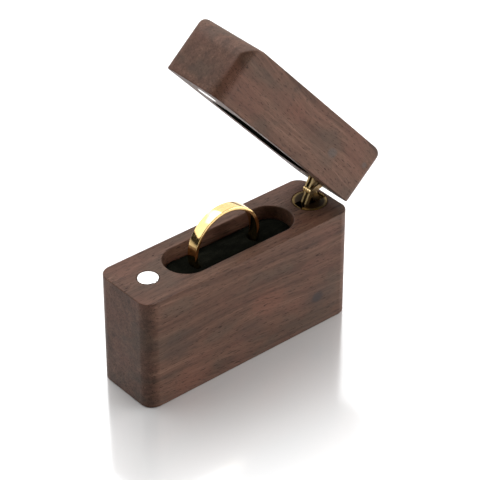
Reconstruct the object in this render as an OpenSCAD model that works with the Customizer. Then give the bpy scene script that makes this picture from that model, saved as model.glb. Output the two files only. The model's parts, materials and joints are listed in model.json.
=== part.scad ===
// Slim flip-top ring box: two walnut blocks on a brass barrel hinge, closed by a pair of disc magnets.
// +X runs towards the hinge end, +Z is up, and the origin is the centre of the face it stands on.

/* [Box] */
// Length of both blocks, from the magnet end to the hinge end
box_length = 73; // [70:1:90]
// Width of both blocks
box_width = 22; // [20:1:30]
// Height of the lower block
base_height = 35; // [30:1:45]
// Height of the lid block
lid_height = 17; // [16:1:24]
// Radius of the four upright corners
corner_radius = 4; // [1:0.5:5]
// Radius where the lid's top turns down into its two ends
lid_end_radius = 6; // [1:0.5:8]

/* [Opening] */
// How far the lid stands open, where 0 is shut
lid_angle = 48; // [0:1:105]
// Hairline left between the two blocks when shut
shut_gap = 0.2; // [0.1:0.05:0.4]

/* [Ring slot] */
// Length of the round-ended slot in the base and in the lid
slot_length = 43.3; // [30:0.1:45]
// Width of the slot
slot_width = 13.6; // [8:0.1:15]
// How far the slot's middle lies towards the hinge from the box's middle
slot_shift = 0.75; // [0:0.05:1]
// Depth of the slot in the base
slot_depth = 16; // [14:0.5:25]
// Depth of the slot in the lid
lid_slot_depth = 13; // [12.5:0.1:13.5]
// How far the velvet lies below the rim of the slot
pad_drop = 3.6; // [2:0.1:6]
// Thickness of the velvet
velvet_t = 0.5; // [0.3:0.1:0.8]
// How far the velvet cover is tucked down beside the foam
velvet_tuck = 6; // [3:0.5:8]

/* [Magnets] */
// Diameter of the two disc magnets
magnet_d = 6; // [4:0.5:8]
// Thickness of the magnets
magnet_t = 2; // [1:0.5:3]
// Distance from the front end to the magnets' centre
magnet_inset = 9; // [8:0.5:9.5]

/* [Barrel hinge] */
// Distance from the back end to the hinge barrels' centre
hinge_inset = 6; // [6:0.5:7]
// Diameter of each barrel
barrel_d = 10; // [10:0.1:10.4]
// Length of each barrel
barrel_depth = 10.5; // [10.3:0.1:10.8]
// Number of grip flutes round a barrel
flute_count = 36; // [24:1:40]
// Thickness of one link plate
plate_t = 0.6; // [0.5:0.05:0.7]
// Spacing of the plates along the pins
plate_pitch = 0.75; // [0.75:0.01:0.77]
// Share of the lid's opening by which each link set turns on its fixed pin
link_share = 0.82; // [0.81:0.005:0.83]

/* [Wedding band] */
// Inside diameter of the ring held in the pad
band_inner_d = 20.9; // [19:0.1:21]
// Radial thickness of the ring
band_t = 1.1; // [0.8:0.1:1.1]
// Width of the ring along the finger
band_w = 3.4; // [2:0.1:4]

/* [Hidden] */
$fn = 64;

walnut = [0.40, 0.28, 0.24];
nickel = [0.85, 0.85, 0.83];
brass = [0.80, 0.62, 0.25];
gold = [0.95, 0.76, 0.35];
black_velvet = [0.05, 0.06, 0.05];
black_foam = [0.12, 0.12, 0.12];

hair = 0.05;                                   // glue line or loose fit round an inserted piece
cut = 1;                                       // how far a cutter runs past the face it opens
mate_z = base_height + shut_gap / 2;           // plane midway between the shut blocks
hinge_x = box_length / 2 - hinge_inset;
magnet_x = magnet_inset - box_length / 2;

// Hinge pins as [x, z] from the hinge centre on the mating plane, with the lid shut.
base_pivot = [3.5, -1.3];
lid_pivot = [3.05, 2.45];
knuckle_shut = [-2.65, 0];
base_slide_shut = [-2.2, -8.5];
lid_slide_shut = [-3.25, 8.2];
base_bend_shut = [-3.8, -3.7];                 // where the lid links' tails bow round the base's pivot pin
lid_bend_shut = [-3.85, 6.25];

pivot_pin_r = 0.5;
knuckle_pin_r = 0.5;
slide_pin_r = 0.5;
pin_play = 0.05;                               // radial running clearance of a plate on a pin
pivot_pin_len = 5.8;
slide_pin_len = 4.4;
eye_r = 1.05;
knuckle_eye_r = 0.9;
arm_w = 1.7;
tail_w = 1.2;
slide_wall = 0.2;                              // extra metal round the sliding pin's hole
barrel_slot_w = 3.2;
barrel_slot_front = -4.5;
barrel_slot_back = 4.7;
barrel_slot_depth = 9.7;
guide_step = 10.5;                             // opening angle between two cuts of a guide slot
guide_play = 0.13;
guide_scallop = 0.03;                          // the cut narrows by this between two plunges of the cutter
guide_w = slide_pin_len + 2 * guide_play;
full_open = 105;
flute_r = 0.22;

band_r = band_inner_d / 2 + band_t;
band_x = -1;
band_z = base_height - 0.2;
band_play = 0.1;

// Turns an [x, z] point about the hinge's long direction, the way the lid opens.
function turn(p, angle) = [p.x * cos(angle) + p.y * sin(angle), p.y * cos(angle) - p.x * sin(angle)];
function turn_about(p, centre, angle) = centre + turn(p - centre, angle);
// Where the knuckle lies in the base's frame, in the lid's frame, and how far the lid has moved.
function knuckle_at(angle) = turn_about(knuckle_shut, base_pivot, link_share * angle);
function knuckle_in_lid(angle) = turn_about(knuckle_shut, lid_pivot, -link_share * angle);
function lid_shift(angle) = knuckle_at(angle) - turn(knuckle_in_lid(angle), angle);
// Paths of the two sliding pins, each in the frame of the barrel that it runs in.
function base_slide_at(angle) =
    knuckle_at(angle) + turn(base_slide_shut - knuckle_shut, (1 - link_share) * angle);
function lid_slide_at(angle) =
    knuckle_in_lid(angle) + turn(lid_slide_shut - knuckle_shut, -(1 - link_share) * angle);

// ---- frames ----

module at_hinge() translate([hinge_x, 0, mate_z]) children();

// Everything fixed to the lid is drawn shut, then swung open.
module in_lid() {
    shift = lid_shift(lid_angle);
    at_hinge() translate([shift.x, 0, shift.y]) rotate([0, lid_angle, 0]) children();
}

module turned_about(pivot, angle)
    translate([pivot.x, 0, pivot.y]) rotate([0, angle, 0]) translate([-pivot.x, 0, -pivot.y]) children();

module on_base_links() at_hinge() turned_about(base_pivot, link_share * lid_angle) children();

module on_lid_links() in_lid() turned_about(lid_pivot, -link_share * lid_angle) children();

// ---- outlines and simple solids ----

module rounded_rectangle(length, width, radius) {
    square([length - 2 * radius, width], center = true);
    square([length, width - 2 * radius], center = true);
    for (x = [-1, 1], y = [-1, 1])
        translate([x * (length / 2 - radius), y * (width / 2 - radius)]) circle(radius);
}

module stadium(length, width) {
    square([length - width, width], center = true);
    for (x = [-1, 1]) translate([x * (length - width) / 2, 0]) circle(width / 2);
}

module slot_solid(height, shrink = 0)
    linear_extrude(height) stadium(slot_length - 2 * shrink, slot_width - 2 * shrink);

module crosswise(thickness) translate([0, thickness / 2, 0]) rotate([90, 0, 0]) linear_extrude(thickness) children();

module cross_pin(centre, radius, length)
    translate([centre.x, 0, centre.y]) rotate([90, 0, 0]) cylinder(h = length, r = radius, center = true);

// ---- walnut blocks ----

module base_block() color(walnut) difference() {
    linear_extrude(base_height) rounded_rectangle(box_length, box_width, corner_radius);
    translate([slot_shift, 0, base_height - slot_depth]) slot_solid(slot_depth + cut);
    translate([magnet_x, 0, base_height - magnet_t - hair]) cylinder(h = magnet_t + cut, d = magnet_d + 4 * hair);
    translate([hinge_x, 0, base_height - barrel_depth - hair])
        cylinder(h = barrel_depth + cut, d = barrel_d + 2 * hair);
}

// Side view of the lid: square at the mating face, rounded where the top meets the ends.
module lid_side_view() {
    square([box_length, lid_height - lid_end_radius]);
    translate([lid_end_radius, 0]) square([box_length - 2 * lid_end_radius, lid_height]);
    for (x = [lid_end_radius, box_length - lid_end_radius])
        translate([x, lid_height - lid_end_radius]) circle(lid_end_radius);
}

module lid_block() color(walnut) in_lid() translate([-hinge_x, 0, shut_gap / 2]) difference() {
    intersection() {
        linear_extrude(lid_height) rounded_rectangle(box_length, box_width, corner_radius);
        translate([-box_length / 2, 0, 0]) crosswise(box_width) lid_side_view();
    }
    translate([slot_shift, 0, -cut]) slot_solid(lid_slot_depth + cut);
    translate([magnet_x, 0, -cut]) cylinder(h = magnet_t + hair + cut, d = magnet_d + 4 * hair);
    translate([hinge_x, 0, -cut]) cylinder(h = barrel_depth + hair + cut, d = barrel_d + 2 * hair);
}

// ---- magnets ----

module base_magnet() color(nickel)
    translate([magnet_x, 0, base_height - magnet_t]) cylinder(h = magnet_t, d = magnet_d);

module lid_magnet() color(nickel)
    in_lid() translate([magnet_x - hinge_x, 0, shut_gap / 2]) cylinder(h = magnet_t, d = magnet_d);

// ---- barrel hinge ----

// One barrel, mouth down at z = 0 and body above it, with its link slot, pin hole and curved guide slot.
module barrel(pivot, guide_path) difference() {
    cylinder(h = barrel_depth, d = barrel_d);
    translate([barrel_slot_front, -barrel_slot_w / 2, -cut])
        cube([barrel_slot_back - barrel_slot_front, barrel_slot_w, barrel_slot_depth + cut]);
    cross_pin(pivot, pivot_pin_r, pivot_pin_len);
    guide_slot(guide_path);
    for (i = [0 : flute_count - 1])
        rotate([0, 0, 360 * i / flute_count]) translate([barrel_d / 2, 0, -cut])
            cylinder(h = barrel_depth + 2 * cut, r = flute_r, $fn = 24);
}

// A slot cut into both cheeks, which follows a pin's path point by point.
module guide_slot(path) {
    r = slide_pin_r + guide_play;
    straight_r = r - guide_scallop;
    for (i = [0 : len(path) - 1]) cross_pin(path[i], r, guide_w);
    for (i = [0 : len(path) - 2])
        crosswise(guide_w) bar(path[i], path[i + 1], 2 * straight_r);
}

module base_hinge_barrel() color(brass) at_hinge() translate([0, 0, -shut_gap / 2]) mirror([0, 0, 1])
    barrel([base_pivot.x, -base_pivot.y - shut_gap / 2],
           [for (a = [0 : guide_step : full_open]) [base_slide_at(a).x, -base_slide_at(a).y - shut_gap / 2]]);

module lid_hinge_barrel() color(brass) in_lid() translate([0, 0, shut_gap / 2])
    barrel([lid_pivot.x, lid_pivot.y - shut_gap / 2],
           [for (a = [0 : guide_step : full_open]) [lid_slide_at(a).x, lid_slide_at(a).y - shut_gap / 2]]);

module base_pivot_pin() color(brass) at_hinge() cross_pin(base_pivot, pivot_pin_r, pivot_pin_len);

module lid_pivot_pin() color(brass) in_lid() cross_pin(lid_pivot, pivot_pin_r, pivot_pin_len);

module knuckle_pin() color(brass)
    on_base_links() cross_pin(knuckle_shut, knuckle_pin_r, 3 * plate_pitch + plate_t);

module base_slide_pin() color(brass) on_lid_links() cross_pin(base_slide_shut, slide_pin_r, slide_pin_len);

module lid_slide_pin() color(brass) on_base_links() cross_pin(lid_slide_shut, slide_pin_r, slide_pin_len);

module bar(from, to, width) {
    run = to - from;
    translate(from) rotate(atan2(run.y, run.x)) translate([0, -width / 2]) square([norm(run), width]);
}

// One flat link: a straight arm from its pivot to the knuckle, and a bowed tail on to the sliding pin.
module link(pivot, bend, slide, knuckle_hole_r, rank) translate([0, (rank - 1.5) * plate_pitch, 0])
    crosswise(plate_t) difference() {
        union() {
            translate(pivot) circle(eye_r);
            bar(pivot, knuckle_shut, arm_w);
            translate(knuckle_shut) circle(knuckle_eye_r);
            bar(knuckle_shut, bend, tail_w);
            translate(bend) circle(tail_w / 2);
            bar(bend, slide, tail_w);
            translate(slide) circle(tail_w / 2 + slide_wall);
        }
        translate(pivot) circle(pivot_pin_r + pin_play);
        translate(knuckle_shut) circle(knuckle_hole_r);
        translate(slide) circle(slide_pin_r);
    }

module base_link(rank) color(brass)
    on_base_links() link(base_pivot, lid_bend_shut, lid_slide_shut, knuckle_pin_r, rank);

module lid_link(rank) color(brass)
    on_lid_links() link(lid_pivot, base_bend_shut, base_slide_shut, knuckle_pin_r + pin_play, rank);

// ---- pad, linings and ring ----

// Groove that the ring presses into the pad.
module ring_groove() translate([band_x, 0, band_z]) rotate([90, 0, 0]) difference() {
    cylinder(h = band_w + 2 * band_play, r = band_r + band_play, center = true);
    cylinder(h = band_w + cut, r = band_r - band_t - band_play, center = true);
}

module foam_insert() color(black_foam) difference() {
    translate([slot_shift, 0, base_height - slot_depth + hair])
        slot_solid(slot_depth - pad_drop - velvet_t - 2 * hair, 2 * hair + velvet_t);
    ring_groove();
}

module velvet_cover() color(black_velvet) difference() {
    translate([slot_shift, 0, base_height - pad_drop - velvet_tuck]) slot_solid(velvet_tuck, hair);
    translate([slot_shift, 0, base_height - pad_drop - velvet_tuck - cut])
        slot_solid(velvet_tuck - velvet_t + cut, hair + velvet_t);
    ring_groove();
}

module lid_lining() color(black_velvet)
    in_lid() translate([slot_shift - hinge_x, 0, shut_gap / 2]) difference() {
        translate([0, 0, velvet_t]) slot_solid(lid_slot_depth - velvet_t - hair, hair);
        slot_solid(lid_slot_depth - velvet_t - hair, hair + velvet_t);
    }

module wedding_band() color(gold) translate([band_x, 0, band_z]) rotate([90, 0, 0]) difference() {
    cylinder(h = band_w, r = band_r, center = true);
    cylinder(h = band_w + cut, r = band_r - band_t, center = true);
}

base_block();
lid_block();
base_magnet();
lid_magnet();
base_hinge_barrel();
lid_hinge_barrel();
base_pivot_pin();
lid_pivot_pin();
knuckle_pin();
base_slide_pin();
lid_slide_pin();
base_link(1);  // base_link_near
base_link(3);  // base_link_far
lid_link(0);  // lid_link_near
lid_link(2);  // lid_link_far
foam_insert();
velvet_cover();
lid_lining();
wedding_band();
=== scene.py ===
import json
import math

import bpy
from mathutils import Matrix, Vector


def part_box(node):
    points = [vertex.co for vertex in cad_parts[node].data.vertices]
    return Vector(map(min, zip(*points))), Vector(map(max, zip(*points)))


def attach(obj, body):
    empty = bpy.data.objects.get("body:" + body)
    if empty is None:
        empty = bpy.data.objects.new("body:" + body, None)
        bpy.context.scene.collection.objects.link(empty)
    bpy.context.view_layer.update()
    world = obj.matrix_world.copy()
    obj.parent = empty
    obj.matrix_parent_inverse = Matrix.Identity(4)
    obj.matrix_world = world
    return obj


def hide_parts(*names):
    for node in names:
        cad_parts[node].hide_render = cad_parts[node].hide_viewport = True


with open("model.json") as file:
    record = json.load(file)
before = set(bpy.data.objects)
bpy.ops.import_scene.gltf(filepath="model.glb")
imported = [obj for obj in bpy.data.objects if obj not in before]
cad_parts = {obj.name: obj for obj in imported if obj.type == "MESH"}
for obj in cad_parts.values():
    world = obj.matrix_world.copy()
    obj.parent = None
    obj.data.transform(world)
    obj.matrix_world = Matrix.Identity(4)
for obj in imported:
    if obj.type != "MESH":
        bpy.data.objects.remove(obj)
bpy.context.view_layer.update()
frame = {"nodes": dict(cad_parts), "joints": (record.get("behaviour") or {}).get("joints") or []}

# ---- floor, camera and lights ----
# The box stands on a sheet of polished white acrylic, which mirrors it faintly close by and goes dull
# further off. Six soft boxes light it, and a long lens looks down on it from the front left.

MM = 0.001
FLOOR_SIDE = 6.0
FLOOR_DROP = 0.02 * MM
base_low, base_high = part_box("base_block")
shut_face = base_high.z


def start_fresh():
    """Leaves edit mode and selects nothing, so that the next operator acts on the new piece alone."""
    if bpy.context.object and bpy.context.object.mode != "OBJECT":
        bpy.ops.object.mode_set(mode="OBJECT")
    bpy.ops.object.select_all(action="DESELECT")


start_fresh()
bpy.ops.mesh.primitive_plane_add(size=FLOOR_SIDE, location=(0, 0, -FLOOR_DROP))
floor = bpy.context.object
floor.name = "floor"


class Wire:
    """One socket of a material that is being wired, so that sums on sockets read as Python."""

    def __init__(self, tree, socket=None):
        self.tree = tree
        self.socket = socket

    def put(self, kind, settings=None, inputs=None, out=0):
        """Adds a node, sets it up, feeds its sockets, and returns one of its outputs."""
        node = self.tree.nodes.new(kind)
        for key, value in (settings or {}).items():
            if key == "stops":
                ramp = node.color_ramp
                while len(ramp.elements) < len(value):
                    ramp.elements.new(0.5)
                for element, (place, colour) in zip(ramp.elements, value):
                    element.position = place
                    element.color = (*colour, 1)
            else:
                setattr(node, key, value)
        for key, value in (inputs or {}).items():
            socket = node.inputs[key]
            if isinstance(value, Wire):
                self.tree.links.new(value.socket, socket)
            elif isinstance(value, (tuple, list)) and len(value) == 3 and socket.type == "RGBA":
                socket.default_value = (*value, 1)
            else:
                socket.default_value = value
        return Wire(self.tree, node.outputs[out])

    def maths(self, operation, other=0.0, swap=False):
        """A sum on numbers with another wire or a value, which comes first where swap is set."""
        first, second = (other, self) if swap else (self, other)
        return self.put("ShaderNodeMath", {"operation": operation}, {0: first, 1: second})

    def __add__(self, other):
        return self.maths("ADD", other)

    def __radd__(self, other):
        return self.maths("ADD", other, swap=True)

    def __sub__(self, other):
        return self.maths("SUBTRACT", other)

    def __rsub__(self, other):
        return self.maths("SUBTRACT", other, swap=True)

    def __mul__(self, other):
        return self.maths("MULTIPLY", other)

    def __rmul__(self, other):
        return self.maths("MULTIPLY", other, swap=True)

    def __truediv__(self, other):
        return self.maths("DIVIDE", other)

    def __pow__(self, other):
        return self.maths("POWER", other)

    def stretched(self, x, y, z, shift=(0, 0, 0)):
        """The vector with each axis divided, so that x, y and z are the size of the pattern's features."""
        return self.put("ShaderNodeMapping", {"vector_type": "TEXTURE"},
                        {"Vector": self, "Location": shift, "Scale": (x, y, z)})

    def noise(self, detail=2.0, roughness=0.5):
        """Noise with features one unit of the vector in size."""
        return self.put("ShaderNodeTexNoise", {"noise_dimensions": "3D"},
                        {"Vector": self, "Scale": 1.0, "Detail": detail, "Roughness": roughness})

    def between(self, low, high):
        """0 at low, 1 at high, smooth in between."""
        return self.put("ShaderNodeMapRange", {"interpolation_type": "SMOOTHSTEP"},
                        {"Value": self, "From Min": low, "From Max": high})

    def ramp(self, *stops):
        """The colour for this value from stops of (place, colour)."""
        return self.put("ShaderNodeValToRGB", {"stops": stops}, {0: self})

    def tint(self, colour, mask):
        """This colour mixed with another by a mask."""
        return self.put("ShaderNodeMix", {"data_type": "RGBA"}, {0: mask, 6: self, 7: colour}, out=2)

    def axis(self, index):
        """One number of a vector."""
        return self.put("ShaderNodeSeparateXYZ", inputs={0: self}, out=index)

    def bump(self, strength, distance):
        """The normal of a surface with this height."""
        return self.put("ShaderNodeBump",
                        inputs={"Height": self, "Strength": strength, "Distance": distance})

    def to(self, socket):
        """Feeds one of the shader's sockets."""
        self.tree.links.new(self.socket, socket)

    def own_place(self):
        """Where a point lies in the piece's own axes."""
        return self.put("ShaderNodeTexCoord", out=3)


def new_material(name, **constants):
    """A material with its constants set on the shader, and the wire and sockets to go on from."""
    material = bpy.data.materials.new(name)
    material.use_nodes = True
    shader = material.node_tree.nodes["Principled BSDF"]
    for key, value in constants.items():
        shader.inputs[key.replace("_", " ")].default_value = value
    return material, Wire(material.node_tree), shader.inputs


GLOSS_REACH = 62 * MM
GLOSS = 0.48
HAZE_SIZE = 50 * MM
acrylic, wire, shader = new_material("white_acrylic")
place = wire.own_place()
past_end = place.axis(0).maths("ABSOLUTE") - base_high.x
past_side = place.axis(1).maths("ABSOLUTE") - base_high.y
dull = past_end.maths("MAXIMUM", past_side).between(0, GLOSS_REACH)
haze = place.stretched(HAZE_SIZE, HAZE_SIZE, HAZE_SIZE).noise(detail=1.0)
((1.0 - dull) * GLOSS).to(shader["Metallic"])
(haze * 0.06 + 0.10).to(shader["Roughness"])
haze.ramp((0.2, (0.93, 0.93, 0.93)), (0.8, (0.95, 0.95, 0.95))).to(shader["Base Color"])
floor.data.materials.append(acrylic)

AZIMUTH = math.radians(-39.97)
ELEVATION = math.radians(34.92)
CAMERA_DISTANCE = 0.6158
towards_viewer = Vector((math.sin(AZIMUTH) * math.cos(ELEVATION),
                         -math.cos(AZIMUTH) * math.cos(ELEVATION), math.sin(ELEVATION)))
look_at = Vector((2.8 * MM, -2.4 * MM, shut_face))
bpy.ops.object.camera_add(location=look_at + CAMERA_DISTANCE * towards_viewer,
                          rotation=(math.pi / 2 - ELEVATION, 0, AZIMUTH))
camera = bpy.context.object
camera.data.sensor_width = 36
camera.data.lens = 167.5
camera.data.clip_start = 0.01
bpy.context.scene.camera = camera

world = bpy.data.worlds.new("studio")
bpy.context.scene.world = world
world.use_nodes = True
background = world.node_tree.nodes["Background"].inputs
background["Color"].default_value = (1, 1, 1, 1)
background["Strength"].default_value = 0.03
bpy.context.scene.view_settings.view_transform = "Standard"


LIGHT_AIM = 40 * MM


def soft_box(name, direction, distance, size, watts):
    """A square area light that faces the middle of the open box."""
    middle = Vector((0, 0, LIGHT_AIM))
    place = middle + Vector(direction).normalized() * distance
    bpy.ops.object.light_add(type="AREA", location=place,
                             rotation=(middle - place).to_track_quat("-Z", "Y").to_euler())
    lamp = bpy.context.object
    lamp.name = name
    lamp.data.size = size
    lamp.data.energy = watts
    lamp.visible_camera = False


soft_box("left_soft_box", (-0.42, 0.80, 1.0), 0.8, 1.0, 6.0)
soft_box("right_soft_box", (1.10, -0.75, 0.15), 0.8, 0.55, 6.7)
soft_box("top_soft_box", (-0.05, 0.45, 1.0), 1.0, 0.7, 3.8)
soft_box("back_soft_box", (0.53, 0.63, 0.57), 1.4, 1.7, 13.4)
soft_box("front_soft_box", (0.6, -1.0, 0.5), 0.8, 0.55, 1.9)
soft_box("ceiling_soft_box", (0.5, -0.3, 1.0), 0.8, 0.55, 2.2)


# ---- base block ----
# A solid block of walnut, sawn, sanded and oiled to a satin, its four upright corners rounded over.
# The slot is routed and the magnet pocket and hinge hole are drilled from above; every edge is just broken.

CORNER_R = 4 * MM
BROKEN_EDGE = 0.3 * MM
WAVE_HEIGHT = 7.0
GRAIN_SLOPE = 0.05
GRAIN_COLOURS = ((0.34, (0.040, 0.018, 0.011)), (0.45, (0.076, 0.035, 0.021)),
                 (0.55, (0.110, 0.053, 0.033)), (0.66, (0.164, 0.086, 0.056)))
COOL_CLOUD = (0.062, 0.043, 0.029)
WARM_CLOUD = (0.122, 0.050, 0.032)
DASH = (0.030, 0.015, 0.010)
PORE = (0.018, 0.009, 0.006)


def walnut(name, centre, swing, seed, marks):
    """Oiled walnut whose grain runs along the block. Lengths inside are in millimetres.

    centre is where the block's own middle lies, and swing how far the block is turned about Y.
    marks lists the knots and patches as (x, z, size, length over height, strength, colour)."""
    material, start, shader = new_material(name, IOR=1.5, Specular_IOR_Level=0.2)
    place = start.put("ShaderNodeMapping", {"vector_type": "TEXTURE"},
                      {"Vector": start.own_place(), "Location": centre, "Rotation": (0, swing, 0),
                       "Scale": (MM, MM, MM)})
    along = place.axis(0)
    across = place.axis(1)
    up = place.axis(2)

    # slow waves in the tree push the growth layers up and down, which makes the slanting figure
    wave = place.stretched(46, 30, 14, shift=seed).noise(detail=1.0)
    height = up + (wave - 0.5) * WAVE_HEIGHT + along * GRAIN_SLOPE
    grain = start.put("ShaderNodeCombineXYZ", inputs={0: along, 1: across, 2: height})
    figure = grain.stretched(70, 2.6, 2.6, shift=seed).noise(detail=4.0, roughness=0.62)
    streaks = grain.stretched(24, 0.7, 0.7, shift=seed).noise(detail=3.0, roughness=0.6)
    fibre = grain.stretched(5.0, 0.15, 0.15).noise(roughness=0.6)
    colour = (figure * 0.50 + streaks * 0.30 + fibre * 0.20).ramp(*GRAIN_COLOURS)

    clouds = place.stretched(17, 12, 8, shift=seed).noise(roughness=0.55)
    colour = colour.tint(COOL_CLOUD, clouds.between(0.50, 0.66) * 0.42)
    colour = colour.tint(WARM_CLOUD, (1.0 - clouds).between(0.52, 0.66) * 0.45)
    ragged = (place.stretched(3.0, 3.0, 1.6, shift=seed).noise(detail=3.0) - 0.5) * 0.9
    for x, z, size, longer, strength, mark_colour in marks:
        away = ((along - x) / (longer * size)) ** 2.0 + ((up - z) / size) ** 2.0 + ragged
        colour = colour.tint(mark_colour, (1.0 - away.between(0.0, 1.0)) * strength)

    dashes = grain.stretched(4.5, 0.55, 0.55, shift=seed).noise(roughness=0.6).between(0.58, 0.68)
    pores = grain.stretched(2.1, 0.28, 0.28, shift=seed).noise(detail=1.0, roughness=0.4).between(0.63, 0.72)
    fine_pores = grain.stretched(1.1, 0.12, 0.12).noise(detail=0.0).between(0.64, 0.74)
    colour = colour.tint(DASH, dashes * 0.50)
    colour.tint(PORE, pores * 0.80 + fine_pores * 0.25).to(shader["Base Color"])
    (0.58 - streaks * 0.10 + pores * 0.20).to(shader["Roughness"])
    relief = fibre * 0.35 + streaks * 0.25 - pores * 0.9
    relief.bump(0.35, 0.05 * MM).to(shader["Normal"])
    return material


def pick(piece, kind, test):
    """Goes into edit mode with the edges or faces selected whose middle and direction pass a test."""
    start_fresh()
    mesh = piece.data
    bpy.context.view_layer.objects.active = piece
    bpy.context.tool_settings.mesh_select_mode = (False, kind == "EDGE", kind == "FACE")
    for group in (mesh.vertices, mesh.edges, mesh.polygons):
        group.foreach_set("select", [False] * len(group))
    if kind == "EDGE":
        for edge in mesh.edges:
            a, b = (mesh.vertices[i].co for i in edge.vertices)
            edge.select = test((a + b) / 2, (b - a).normalized())
    else:
        for face in mesh.polygons:
            face.select = test(face.center, face.normal)
    bpy.ops.object.mode_set(mode="EDIT")


def finish_modifier(piece, kind, **settings):
    """Adds one modifier, sets it and applies it."""
    bpy.ops.object.mode_set(mode="OBJECT")
    bpy.context.view_layer.objects.active = piece
    modifier = piece.modifiers.new(kind.lower(), kind)
    for key, value in settings.items():
        setattr(modifier, key, value)
    bpy.ops.object.modifier_apply(modifier=modifier.name)


def rounded_block(name, low, high, radius, rounds=14):
    """A block with rounded upright corners, standing between two of its corners."""
    start_fresh()
    middle = (low + high) / 2
    bpy.ops.mesh.primitive_cube_add(size=1, location=middle, scale=high - low)
    block = bpy.context.object
    block.name = name
    bpy.ops.object.transform_apply()
    pick(block, "EDGE", lambda place, along: abs(along.z) > 0.9)
    bpy.ops.mesh.bevel(offset=radius, segments=rounds, affect="EDGES")
    bpy.ops.object.mode_set(mode="OBJECT")
    return block


def drill(radius, low, high, x):
    """A cutter for a round hole about an upright axis."""
    start_fresh()
    bpy.ops.mesh.primitive_cylinder_add(vertices=96, radius=radius, depth=high - low,
                                        location=(x, 0, (low + high) / 2))
    bpy.ops.object.transform_apply()
    return bpy.context.object


def cut_away(piece, cutters):
    """Takes each cutter out of the piece in turn and removes the cutter."""
    for cutter in cutters:
        start_fresh()
        finish_modifier(piece, "BOOLEAN", operation="DIFFERENCE", solver="EXACT", object=cutter)
        bpy.data.objects.remove(cutter)


def break_edges(piece, width):
    """Cleans up after the cutters, sands every sharp edge to a small round and shades the piece smooth."""
    start_fresh()
    piece.select_set(True)
    bpy.context.view_layer.objects.active = piece
    bpy.ops.object.mode_set(mode="EDIT")
    bpy.ops.mesh.select_all(action="SELECT")
    bpy.ops.mesh.remove_doubles(threshold=0.002 * MM)
    bpy.ops.mesh.dissolve_limited(angle_limit=math.radians(0.5))
    finish_modifier(piece, "BEVEL", width=width, segments=3, limit_method="ANGLE",
                    angle_limit=math.radians(40), use_clamp_overlap=False)
    bpy.ops.object.shade_smooth_by_angle(angle=math.radians(35))
    finish_modifier(piece, "WEIGHTED_NORMAL", keep_sharp=True)


pad_low, pad_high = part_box("velvet_cover")
foam_low, foam_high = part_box("foam_insert")
magnet_low, magnet_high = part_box("base_magnet")
barrel_low, barrel_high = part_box("base_hinge_barrel")
magnet_x = (magnet_low.x + magnet_high.x) / 2
barrel_x = (barrel_low.x + barrel_high.x) / 2
magnet_r = (magnet_high.x - magnet_low.x) / 2
barrel_r = (barrel_high.y - barrel_low.y) / 2
GLUE_LINE = 0.05 * MM
MAGNET_GAP = 0.1 * MM
slot_low = Vector((pad_low.x - GLUE_LINE, pad_low.y - GLUE_LINE, foam_low.z - GLUE_LINE))
slot_high = Vector((pad_high.x + GLUE_LINE, pad_high.y + GLUE_LINE, shut_face + MM))
slot_r = (slot_high.y - slot_low.y) / 2
# just short of a full half circle, so that the rounds of two corners do not meet
NEARLY_ROUND = 0.999
SLOT_ROUNDS = 40

base = rounded_block("walnut_base", base_low, base_high, CORNER_R)
cut_away(base, [
    rounded_block("slot_cutter", slot_low, slot_high, slot_r * NEARLY_ROUND, rounds=SLOT_ROUNDS),
    drill(magnet_r + MAGNET_GAP, magnet_low.z - GLUE_LINE, shut_face + MM, magnet_x),
    drill(barrel_r + GLUE_LINE, barrel_low.z - GLUE_LINE, shut_face + MM, barrel_x)])
break_edges(base, BROKEN_EDGE)
HEARTWOOD = (0.036, 0.026, 0.020)
KNOT = (0.022, 0.018, 0.019)
REDDISH = (0.150, 0.056, 0.034)
base.data.materials.append(walnut("walnut_of_the_base", (0, 0, 0), 0, (0, 0, 0), [
    (24.2, 10.2, 5.5, 1.5, 0.40, HEARTWOOD), (24.2, 10.2, 2.2, 1.3, 0.75, KNOT),
    (6.5, 17.5, 5.0, 1.8, 0.45, REDDISH), (-22.0, 5.0, 4.5, 2.2, 0.40, REDDISH),
    (-25.6, 17.5, 6.0, 1.4, 0.40, HEARTWOOD), (-0.7, 10.5, 4.5, 1.6, 0.30, HEARTWOOD)]))
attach(base, "base")
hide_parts("base_block")


# ---- lid block ----
# The lid is sawn from the same walnut, with its top turned down over both ends in a large round.
# It is made shut on the base, then swung open on its hinge as far as it stands in the frame.

LID_END_R = 6 * MM
joints = {joint["name"]: joint for joint in frame["joints"]}
hinge_line = [joints["lid_open"], joints["knuckle_fold"], joints["lid_fold"]]
shut_turns = [joints["lid_open"]["range_deg"][0], joints["knuckle_fold"]["range_deg"][1],
              joints["lid_fold"]["range_deg"][0]]
lid_swing = math.radians(-sum(shut_turns))
# carries a point of the shut lid to where the open lid has it in the frame
opening = Matrix.Identity(4)
for joint, shut_turn in zip(hinge_line, shut_turns):
    pivot = Matrix.Translation(joint["pos_m"])
    opening = pivot @ Matrix.Rotation(math.radians(-shut_turn), 4, "Y") @ pivot.inverted() @ opening


def swing_open(piece):
    """Carries a piece made on the shut lid to where the open lid holds it."""
    start_fresh()
    piece.select_set(True)
    bpy.context.view_layer.objects.active = piece
    piece.matrix_world = opening @ piece.matrix_world
    bpy.ops.object.transform_apply()


def shut_box(node):
    """The lowest and highest corner of one of the lid's nodes when the lid is shut."""
    corners = [opening.inverted() @ vertex.co for vertex in frame["nodes"][node].data.vertices]
    return (Vector([min(corner[i] for corner in corners) for i in range(3)]),
            Vector([max(corner[i] for corner in corners) for i in range(3)]))


lid_low, lid_high = shut_box("lid_block")
lid_slot_top = shut_box("lid_lining")[1].z + GLUE_LINE

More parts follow.
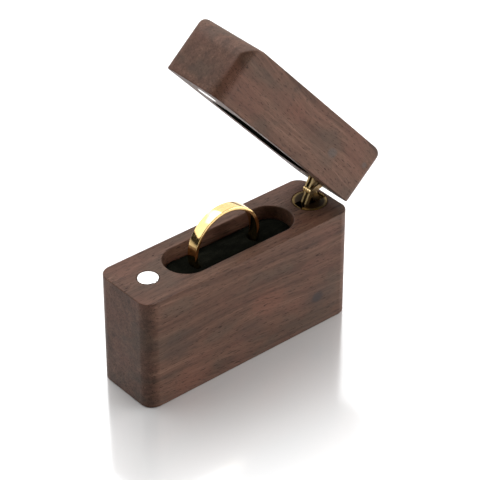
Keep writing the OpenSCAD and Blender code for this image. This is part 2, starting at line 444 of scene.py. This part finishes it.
lid = rounded_block("walnut_lid", lid_low, lid_high, CORNER_R)
start_fresh()
bpy.ops.mesh.primitive_cube_add(size=1, location=(lid_low + lid_high) / 2,
                                scale=(lid_high - lid_low) + Vector((0, 4 * MM, 0)))
top_round = bpy.context.object
bpy.ops.object.transform_apply()
pick(top_round, "EDGE", lambda place, along: abs(along.y) > 0.9 and place.z > lid_high.z - MM)
bpy.ops.mesh.bevel(offset=LID_END_R, segments=16, affect="EDGES")
start_fresh()
finish_modifier(lid, "BOOLEAN", operation="INTERSECT", solver="EXACT", object=top_round)
bpy.data.objects.remove(top_round)
lid_slot_low = Vector((slot_low.x, slot_low.y, lid_low.z - MM))
lid_slot_high = Vector((slot_high.x, slot_high.y, lid_slot_top))
barrel_depth = barrel_high.z - barrel_low.z
lid_magnet_top = lid_low.z + magnet_high.z - magnet_low.z
cut_away(lid, [
    rounded_block("lid_slot_cutter", lid_slot_low, lid_slot_high, slot_r * NEARLY_ROUND, rounds=SLOT_ROUNDS),
    drill(magnet_r + MAGNET_GAP, lid_low.z - MM, lid_magnet_top + GLUE_LINE, magnet_x),
    drill(barrel_r + GLUE_LINE, lid_low.z - MM, lid_low.z + barrel_depth + GLUE_LINE, barrel_x)])
break_edges(lid, BROKEN_EDGE)
swing_open(lid)
lid_middle = opening @ ((lid_low + lid_high) / 2)
GREY_FLECK = (0.075, 0.070, 0.066)
lid.data.materials.append(walnut("walnut_of_the_lid", lid_middle, lid_swing, (31, 17, 5), [
    (16.0, -0.5, 1.8, 1.4, 0.50, GREY_FLECK), (31.0, 2.5, 1.1, 1.3, 0.50, GREY_FLECK),
    (-12.0, 2.0, 5.0, 2.2, 0.35, REDDISH)]))
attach(lid, "lid")
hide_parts("lid_block")


# ---- magnets ----
# Two sintered discs with bright nickel plating and a fine chamfer round the rim.
# They are glued flush into the pockets of the base and the lid, and meet when the lid is shut.

MAGNET_CHAMFER = 0.22 * MM

nickel, wire, shader = new_material("nickel_plate", Metallic=1.0)
SPOT_SIZE = 0.4 * MM
spots = wire.own_place().stretched(SPOT_SIZE, SPOT_SIZE, SPOT_SIZE).noise(detail=3.0)
spots.ramp((0.3, (0.90, 0.89, 0.87)), (0.7, (0.97, 0.96, 0.94))).to(shader["Base Color"])
(spots * 0.12 + 0.10).to(shader["Roughness"])
spots.bump(0.05, 0.01 * MM).to(shader["Normal"])


def disc_magnet(name, low, high):
    """A chamfered disc on the magnets' axis, between two heights."""
    start_fresh()
    bpy.ops.mesh.primitive_cylinder_add(vertices=96, radius=magnet_r, depth=high - low,
                                        location=(magnet_x, 0, (low + high) / 2))
    disc = bpy.context.object
    disc.name = name
    bpy.ops.object.transform_apply()
    pick(disc, "FACE", lambda place, out: abs(out.z) > 0.9)
    bpy.ops.mesh.inset(thickness=MAGNET_CHAMFER * 3)
    finish_modifier(disc, "BEVEL", width=MAGNET_CHAMFER, segments=3, limit_method="ANGLE",
                    angle_limit=math.radians(60))
    bpy.ops.object.shade_smooth_by_angle(angle=math.radians(40))
    disc.data.materials.append(nickel)
    return disc


base_disc = disc_magnet("base_disc_magnet", magnet_low.z, magnet_high.z)
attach(base_disc, "base")
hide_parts("base_magnet")
lid_disc = disc_magnet("lid_disc_magnet", lid_low.z, lid_magnet_top)
swing_open(lid_disc)
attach(lid_disc, "lid")
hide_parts("lid_magnet")


# ---- barrel hinge ----
# Turned and slotted brass barrels with fluted sides, stamped brass link plates and drawn brass pins.
# The frame's own parts are exact, so they stay and are only given brass: bright on the links, with painted
# shade on their broad faces, and dull in the barrels, partly painted shade, with painted shade and dark
# reflection in their mouths.


def brass(name, light, dark, rough):
    """A brass that is still to get its painted shade: its material, place, shader sockets and colour."""
    material, wire, shader = new_material(name, Metallic=1.0)
    place = wire.own_place()
    drawn = place.stretched(0.12 * MM, 0.5 * MM, 2.0 * MM).noise(detail=2.0)
    stain = place.stretched(1.3 * MM, 1.3 * MM, 1.3 * MM, shift=(0.4, 0, 0)).noise(detail=3.0, roughness=0.6)
    (drawn * 0.16 + rough).to(shader["Roughness"])
    drawn.bump(0.12, 0.01 * MM).to(shader["Normal"])
    return material, place, shader, stain.ramp((0.25, dark), (0.7, light))


def link_brass():
    """Brass plate with painted shade on its broad faces, so that only its stamped edges look bright."""
    material, _, shader, colour = brass("link_brass", (0.86, 0.66, 0.34), (0.62, 0.43, 0.18), 0.22)
    normal = colour.put("ShaderNodeNewGeometry", out=1)
    broad_face_shade = normal.axis(1).maths("ABSOLUTE").between(0.85, 0.97)
    # painted shade: the broad faces, picked by which way they face, are darkened nearly to brown-black
    colour.tint((0.16, 0.10, 0.05), broad_face_shade * 0.85).to(shader["Base Color"])
    return material


def barrel_brass(name, centre, swing):
    """Brass with a brighter knurled rim round a mouth with painted shade and painted dark reflection.
    Lengths inside are in millimetres.
    """
    # dull brass: partly its own darker patina, partly painted shade from the open lid above
    material, place, shader, colour = brass(name, (0.50, 0.35, 0.14), (0.26, 0.17, 0.06), 0.30)
    turned = place.put("ShaderNodeMapping", {"vector_type": "TEXTURE"},
                       {"Vector": place, "Location": centre, "Rotation": (0, swing, 0),
                        "Scale": (MM, MM, MM)})
    off_axis = (turned.axis(0) ** 2.0 + turned.axis(1) ** 2.0) ** 0.5
    mouth_shade = 1.0 - off_axis.between(4.0, 4.6)
    # painted shade and painted reflection of the dark lid: inside the knurled rim the brass is darkened
    # nearly to black
    colour.tint((0.055, 0.035, 0.018), mouth_shade * 0.9).to(shader["Base Color"])
    return material


bright_brass = link_brass()
lid_barrel_place = opening @ Vector((barrel_x, 0, lid_low.z))
for node, piece in frame["nodes"].items():
    if "link" in node or "pin" in node:
        piece.data.materials.clear()
        piece.data.materials.append(bright_brass)
for node, centre, swing in (("base_hinge_barrel", (barrel_x, 0, shut_face), 0),
                            ("lid_hinge_barrel", lid_barrel_place, lid_swing)):
    barrel = frame["nodes"][node]
    barrel.data.materials.clear()
    barrel.data.materials.append(barrel_brass(node + "_brass", centre, swing))


# ---- velvet pad ----
# A block of soft foam wrapped in black velvet and pushed into the slot, slit down its middle for the band.
# It is made a little small, then swollen as cloth under pressure, so its rolls crown between slot and slit.

SLIT = 0.5 * MM
SLIT_LENGTH = 60 * MM
SLIT_DEPTH = 8 * MM
GROOVE_PLAY = 0.2 * MM
VOXEL = 0.42 * MM
SWELL_STEPS = 14
SWELL_CAP = 0.45 * MM
SIM_SCALE = 20.0
PAD_INSET = 0.25 * MM

band_low, band_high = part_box("wedding_band")
band_middle = (band_low + band_high) / 2
band_r = (band_high.x - band_low.x) / 2
band_w = band_high.y - band_low.y
BAND_T = 1.1 * MM


def black_velvet(name):
    """Velvet whose pile is brushed into lighter and darker patches."""
    material, wire, shader = new_material(name, Roughness=1.0, Specular_IOR_Level=0.0, Sheen_Weight=0.03,
                                          Sheen_Roughness=0.35, Sheen_Tint=(0.10, 0.13, 0.10, 1))
    place = wire.own_place()
    pile = place.stretched(0.10 * MM, 0.10 * MM, 0.10 * MM).noise(roughness=0.7)
    brushed = place.stretched(3.5 * MM, 2.2 * MM, 2.2 * MM).noise()
    tone = (pile * 0.7 + brushed * 0.3).ramp(
        (0.35, (0.0018, 0.0019, 0.0015)), (0.55, (0.0050, 0.0052, 0.0038)), (0.72, (0.024, 0.024, 0.017)))
    tone.to(shader["Base Color"])
    (pile + brushed).bump(0.6, 0.12 * MM).to(shader["Normal"])
    return material


velvet = black_velvet("black_velvet")
inset = Vector((PAD_INSET, PAD_INSET, 0))
pad = rounded_block("velvet_pad", Vector((pad_low.x, pad_low.y, foam_low.z)) + inset, pad_high - inset,
                    slot_r - PAD_INSET - GLUE_LINE * 1.5, rounds=24)
start_fresh()
bpy.ops.mesh.primitive_cube_add(size=1, location=(band_middle.x, 0, pad_high.z - SLIT_DEPTH / 2 + MM / 2),
                                scale=(SLIT_LENGTH, SLIT, SLIT_DEPTH + MM))
slit = bpy.context.object
bpy.ops.object.transform_apply()


def across_cutter(radius, width):
    """A round cutter on the band's own axis, which lies across the box."""
    start_fresh()
    bpy.ops.mesh.primitive_cylinder_add(vertices=128, radius=radius, depth=width, location=band_middle,
                                        rotation=(math.pi / 2, 0, 0))
    bpy.ops.object.transform_apply()
    return bpy.context.object


groove = across_cutter(band_r + GROOVE_PLAY, band_w + 0.5 * MM)
cut_away(groove, [across_cutter(band_r - BAND_T - GROOVE_PLAY, band_w + 2 * MM)])
cut_away(pad, [slit, groove])
start_fresh()
pad.select_set(True)
finish_modifier(pad, "REMESH", mode="VOXEL", voxel_size=VOXEL, use_smooth_shade=True)
before = [vertex.co.copy() for vertex in pad.data.vertices]
pad.data.transform(Matrix.Scale(SIM_SCALE, 4))
cloth = pad.modifiers.new("swelling", "CLOTH")
cloth.settings.quality = 6
cloth.settings.mass = 0.3
cloth.settings.tension_stiffness = 12
cloth.settings.compression_stiffness = 12
cloth.settings.shear_stiffness = 5
cloth.settings.bending_stiffness = 0.6
cloth.settings.use_pressure = True
cloth.settings.uniform_pressure_force = 4
cloth.settings.effector_weights.gravity = 0
for step in range(1, SWELL_STEPS + 1):
    bpy.context.scene.frame_set(step)
bpy.context.view_layer.objects.active = pad
bpy.ops.object.modifier_apply(modifier=cloth.name)
bpy.context.scene.frame_set(1)
pad.data.transform(Matrix.Scale(1 / SIM_SCALE, 4))
for vertex, old in zip(pad.data.vertices, before):
    moved = vertex.co - old
    if moved.length > SWELL_CAP:
        vertex.co = old + moved.normalized() * SWELL_CAP
finish_modifier(pad, "SMOOTH", factor=0.5, iterations=3)
finish_modifier(pad, "SUBSURF", levels=1, render_levels=1)
bpy.ops.object.shade_smooth()
pad.data.materials.clear()
pad.data.materials.append(velvet)
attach(pad, "base")
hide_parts("velvet_cover", "foam_insert")


# ---- lid lining ----
# Black flock of the same colour as the pad covers the walls and the floor of the lid's cavity.
# It is blown on to glue, half a millimetre thick, and rounds off the cavity's inner corners.

FLOCK_T = 0.5 * MM
FLOCK_ROUND = 1.2 * MM
FLOCK_LIP = 0.15 * MM
MOUTH_SETBACK = 0.1 * MM

lining_low = Vector((slot_low.x + GLUE_LINE, slot_low.y + GLUE_LINE, lid_low.z + MOUTH_SETBACK))
lining_high = Vector((slot_high.x - GLUE_LINE, slot_high.y - GLUE_LINE, lid_slot_top - GLUE_LINE))
lining = rounded_block("lid_flock_lining", lining_low, lining_high, (slot_r - GLUE_LINE) * NEARLY_ROUND,
                       rounds=SLOT_ROUNDS)
pick(lining, "FACE", lambda place, out: out.z > 0.9)
bpy.ops.mesh.bevel(offset=FLOCK_ROUND, segments=6, affect="EDGES")
pick(lining, "FACE", lambda place, out: out.z < -0.9)
bpy.ops.mesh.delete(type="FACE")
finish_modifier(lining, "SOLIDIFY", thickness=FLOCK_T, offset=-1)
finish_modifier(lining, "BEVEL", width=FLOCK_LIP, segments=2, limit_method="ANGLE",
                angle_limit=math.radians(50))
bpy.ops.object.shade_smooth_by_angle(angle=math.radians(35))
swing_open(lining)
lining.data.materials.append(velvet)
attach(lining, "lid")
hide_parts("lid_lining")


# ---- wedding band ----
# A plain flat band of yellow gold, turned and polished to a mirror, with its edges just rounded off.
# It stands upright in the pad's slit, a little under half of it showing, and lifts straight out.

BAND_EDGE = 0.16 * MM

gold, wire, shader = new_material("polished_gold", Metallic=1.0)
rub = wire.own_place().stretched(0.9 * MM, 0.25 * MM, 0.9 * MM).noise(detail=4.0)
rub.ramp((0.3, (0.76, 0.50, 0.20)), (0.7, (0.86, 0.61, 0.28))).to(shader["Base Color"])
(rub * 0.08 + 0.07).to(shader["Roughness"])
rub.bump(0.04, 0.01 * MM).to(shader["Normal"])

start_fresh()
bpy.ops.mesh.primitive_cylinder_add(vertices=256, radius=band_r, depth=band_w, end_fill_type="NOTHING",
                                    location=band_middle, rotation=(math.pi / 2, 0, 0))
band = bpy.context.object
band.name = "gold_band"
bpy.ops.object.transform_apply()
finish_modifier(band, "SOLIDIFY", thickness=BAND_T, offset=-1)
finish_modifier(band, "BEVEL", width=BAND_EDGE, segments=4, limit_method="ANGLE",
                angle_limit=math.radians(50))
bpy.ops.object.shade_smooth_by_angle(angle=math.radians(30))
band.data.materials.append(gold)
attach(band, "base")
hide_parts("wedding_band")
